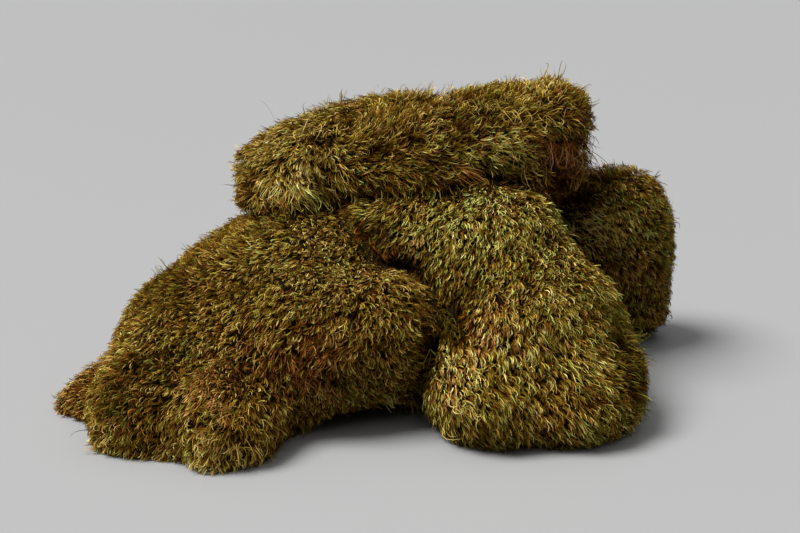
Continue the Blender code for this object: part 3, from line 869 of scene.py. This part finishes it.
def strand_path(tuft, solid, stations, rng):
    """Points along one strand, from its root in the mat to its tip."""
    bunches = max(1, tuft.count // BUNCH)
    share = (rng.integers(bunches) + 0.5 + BUNCH_SPREAD * rng.standard_normal()) / bunches
    x = tuft.x0 + (tuft.x1 - tuft.x0) * share
    y = tuft.y0 + (tuft.y1 - tuft.y0) * share
    x, y = (x, y) + ROOT_SCATTER * tuft.scatter * rng.standard_normal(2)
    place, normal = cast(solid, x, y)
    reach = rng.uniform(*LOOSE_LENGTHS) if tuft.count > 1 else 1.0
    scatter_x, scatter_y = rng.uniform(-1, 1, 2) * tuft.scatter
    ray = pixel_ray(x + tuft.lean_x * reach + scatter_x, y + tuft.lean_y * reach + scatter_y)
    end = CAMERA_PLACE + ray * (place - CAMERA_PLACE).length
    hit = solid.tree.ray_cast(CAMERA_PLACE, ray)[0]
    if hit is not None and (hit - place).length < LOOSE_JUMP * (end - place).length:
        end = hit + normal * LOOSE_CLEAR
    start = place - normal * LOOSE_ROOT
    span = (end - start).length
    bow = Vector(rng.standard_normal(3).tolist()) * (LOOSE_BOW * span) + normal * (LOOSE_BOW * span / 2)
    return [list(start.lerp(end, along) + bow * (4 * along * (1 - along))) for along in stations.tolist()]


def loose_strands(mat, solid, material):
    """Stems, rootlets and tips that stand off a mat, as one object."""
    rng = np.random.default_rng(mat.seed + LOOSE_SEED)
    stations = np.linspace(0, 1, LOOSE_BENDS + 1)
    curves, widths, hues, light = [], [], [], []
    for tuft in mat.tufts:
        for _ in range(tuft.count):
            curves.append(strand_path(tuft, solid, stations, rng))
            widths.append(tuft.width * MM * rng.uniform(*LOOSE_WIDTHS))
            hues.append(PALETTE[tuft.hue][0] + LOOSE_HUE_SPREAD * rng.standard_normal())
            light.append(LIGHT_MIDDLE + light_step(tuft.light) + LOOSE_LIGHT_SPREAD * rng.standard_normal())
    curves = np.array(curves)
    facing = np.broadcast_to(unit(np.array(CAMERA_PLACE) - solid.middle), (len(curves), 3))
    facing = unit(facing + LOOSE_ROLL * rng.standard_normal(facing.shape))
    shape = np.linspace(1, LOOSE_TIP_WIDTH, LOOSE_BENDS + 1)
    shape[-1] = 0
    points = ribbons(curves, np.array(widths), shape, facing)
    tip_light = np.array(light).clip(*LOOSE_LIGHTS)
    uvs = leaf_uvs(np.array(hues).clip(*LEAF_HUES), tip_light - LOOSE_ROOT_SHADE, tip_light, stations)
    return leaf_objects(mat.slot + "_loose", points, uvs.clip(*LEAF_HUES), LOOSE_BENDS, material)


# The felted cores.

def even_copy(solid, name):
    """A mesh of the solid's form with faces of an even size, and its points and normals."""
    rough = bpy.data.meshes.new(name)
    rough.from_pydata(solid.points.tolist(), [], solid.triangles.tolist())
    source = add_object(name, rough)
    even = source.modifiers.new("even", "REMESH")
    even.mode = "VOXEL"
    even.voxel_size = CORE_GRAIN
    even.use_smooth_shade = True
    graph = bpy.context.evaluated_depsgraph_get()
    mesh = bpy.data.meshes.new_from_object(source.evaluated_get(graph))
    bpy.data.objects.remove(source)
    points = np.empty(len(mesh.vertices) * 3)
    mesh.vertices.foreach_get("co", points)
    normals = np.empty(len(mesh.vertices) * 3)
    mesh.vertex_normals.foreach_get("vector", normals)
    return mesh, points.reshape(-1, 3), normals.reshape(-1, 3)


def build_core(mat, solids, material):
    """The core follows the mat's solid some way inside it, and comes close to its neighbours' in a seam."""
    solid = solids[mat.node]
    mesh, points, normals = even_copy(solid, mat.node + "_rough")
    depth = CORE_DEPTH - CORE_LUMPS * soft_noise(points, CORE_LUMP_WIDTH, mat.seed)
    depth += hollow_depth(mat, solid, points)
    apart = distance_to_others(mat, solids, points)
    depth *= (apart / NARROW_GAP).clip(NARROW_DEPTH, 1)
    open_air = point_tree(points[apart > BURIED])
    inside = np.array([open_air.find(point)[2] for point in points.tolist()])
    covered = ((inside - SEAM_EDGE) / SEAM).clip(0, 1)
    depth = depth * (1 - covered) + BURIED_DEPTH * covered
    on_ground = points[:, 2] < CORE_GRAIN / 2
    moved = points - normals * depth[:, None]
    moved[on_ground, 2] = CLEAR_OF_GROUND
    moved[:, 2] = np.maximum(moved[:, 2], CLEAR_OF_GROUND)
    mesh.vertices.foreach_set("co", moved.reshape(-1))
    mesh.update()
    mesh.materials.clear()
    mesh.materials.append(material)
    return add_object(mat.slot + "_felt", mesh)


# Materials.

def new_material(name, roughness):
    material = bpy.data.materials.new(name)
    material.use_nodes = True
    shader = material.node_tree.nodes["Principled BSDF"]
    shader.inputs["Roughness"].default_value = roughness
    return material, material.node_tree, shader


def ramp_node(tree, stops):
    node = tree.nodes.new("ShaderNodeValToRGB")
    elements = node.color_ramp.elements
    elements[0].position, elements[0].color = stops[0][0], (*stops[0][1], 1)
    elements[1].position, elements[1].color = stops[-1][0], (*stops[-1][1], 1)
    for position, colour in stops[1:-1]:
        elements.new(position).color = (*colour, 1)
    return node


def light_stops():
    """The light ramp, on which every step is so many times lighter than the last."""
    stops = []
    for step in range(LIGHT_STEPS + 1):
        position = step / LIGHT_STEPS
        red = exp(RED_STEEPNESS * (position - RED_MIDDLE))
        green = exp(LIGHT_STEEPNESS * (position - LIGHT_MIDDLE))
        blue = exp(BLUE_STEEPNESS * (position - BLUE_MIDDLE))
        stops.append((position, (red, green, blue)))
    return stops


def leaf_material():
    """The leaves' colour is read from the palette and from the light ramp by each leaf's place on them."""
    material, tree, shader = new_material("moss_leaf", LEAF_ROUGHNESS)
    shader.inputs["Specular IOR Level"].default_value = LEAF_GLOSS
    place = tree.nodes.new("ShaderNodeUVMap")
    place.uv_map = "OFBake"
    split = tree.nodes.new("ShaderNodeSeparateXYZ")
    tree.links.new(place.outputs["UV"], split.inputs["Vector"])
    hue = ramp_node(tree, sorted(PALETTE.values()))
    tree.links.new(split.outputs["X"], hue.inputs["Fac"])
    light = ramp_node(tree, light_stops())
    tree.links.new(split.outputs["Y"], light.inputs["Fac"])
    mix = tree.nodes.new("ShaderNodeMix")
    mix.data_type = "RGBA"
    mix.blend_type = "MULTIPLY"
    mix.clamp_result = True
    mix.inputs["Factor"].default_value = 1
    tree.links.new(hue.outputs["Color"], mix.inputs["A"])
    tree.links.new(light.outputs["Color"], mix.inputs["B"])
    tree.links.new(mix.outputs["Result"], shader.inputs["Base Color"])
    return material


def felt_material():
    """Dark brown felt of old stems and rootlets."""
    material, tree, shader = new_material("moss_felt", FELT_ROUGHNESS)
    shader.inputs["Specular IOR Level"].default_value = FELT_GLOSS
    place = tree.nodes.new("ShaderNodeTexCoord")
    grain = tree.nodes.new("ShaderNodeTexNoise")
    grain.inputs["Scale"].default_value = FELT_GRAIN
    grain.inputs["Detail"].default_value = FELT_DETAIL
    tree.links.new(place.outputs["Object"], grain.inputs["Vector"])
    colour = ramp_node(tree, FELT_COLOURS)
    tree.links.new(grain.outputs["Fac"], colour.inputs["Fac"])
    tree.links.new(colour.outputs["Color"], shader.inputs["Base Color"])
    bump = tree.nodes.new("ShaderNodeBump")
    bump.inputs["Strength"].default_value = FELT_BUMP
    bump.inputs["Distance"].default_value = FELT_BUMP_HEIGHT
    tree.links.new(grain.outputs["Fac"], bump.inputs["Height"])
    tree.links.new(bump.outputs["Normal"], shader.inputs["Normal"])
    return material


# The stage.

def add_camera():
    data = bpy.data.cameras.new("camera")
    data.sensor_width = SENSOR_WIDTH
    data.lens = FOCAL_PIXELS / IMAGE_WIDTH * SENSOR_WIDTH
    camera = add_object("camera", data)
    camera.location = CAMERA_PLACE
    camera.rotation_euler = (radians(90) - CAMERA_SLOPE, 0, 0)
    bpy.context.scene.camera = camera


def add_floor():
    reach = FLOOR_REACH
    mesh = bpy.data.meshes.new("floor")
    corners = [(-reach, -reach, 0), (reach, -reach, 0), (reach, reach, 0), (-reach, reach, 0)]
    mesh.from_pydata(corners, [], [(0, 1, 2, 3)])
    material, _, shader = new_material("floor", FLOOR_ROUGHNESS)
    shader.inputs["Base Color"].default_value = (FLOOR_GREY, FLOOR_GREY, FLOOR_GREY, 1)
    mesh.materials.append(material)
    add_object("floor", mesh)


def add_light(name, towards, power, breadth):
    data = bpy.data.lights.new(name, "SUN")
    data.energy = power
    data.angle = radians(breadth)
    lamp = add_object(name, data)
    lamp.rotation_euler = (-Vector(towards)).to_track_quat("-Z", "Y").to_euler()


def add_lights():
    """A soft key from high on the left, a broader light from above, and a dim surround."""
    add_light("key", TOWARDS_KEY, KEY_POWER, KEY_BREADTH)
    add_light("top", TOWARDS_TOP, TOP_POWER, TOP_BREADTH)
    world = bpy.data.worlds.new("studio")
    bpy.context.scene.world = world
    world.use_nodes = True
    world.node_tree.nodes["Background"].inputs["Color"].default_value = (*SURROUND_COLOUR, 1)
    world.node_tree.nodes["Background"].inputs["Strength"].default_value = SURROUND


def main():
    bpy.context.scene.view_settings.view_transform = "Standard"
    add_camera()
    add_floor()
    add_lights()
    solids = {mat.node: Solid(mat.node) for mat in MATS}
    leaf = leaf_material()
    felt = felt_material()
    for mat in MATS:
        pieces = [build_core(mat, solids, felt)]
        pieces += grow_coat(mat, UNDER, mat.slot + "_under", solids, leaf)
        pieces += grow_coat(mat, mat.coat, mat.slot + "_over", solids, leaf)
        pieces += loose_strands(mat, solids[mat.node], leaf)
        for piece in pieces:
            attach(piece, BODY)
            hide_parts(mat.node)


main()
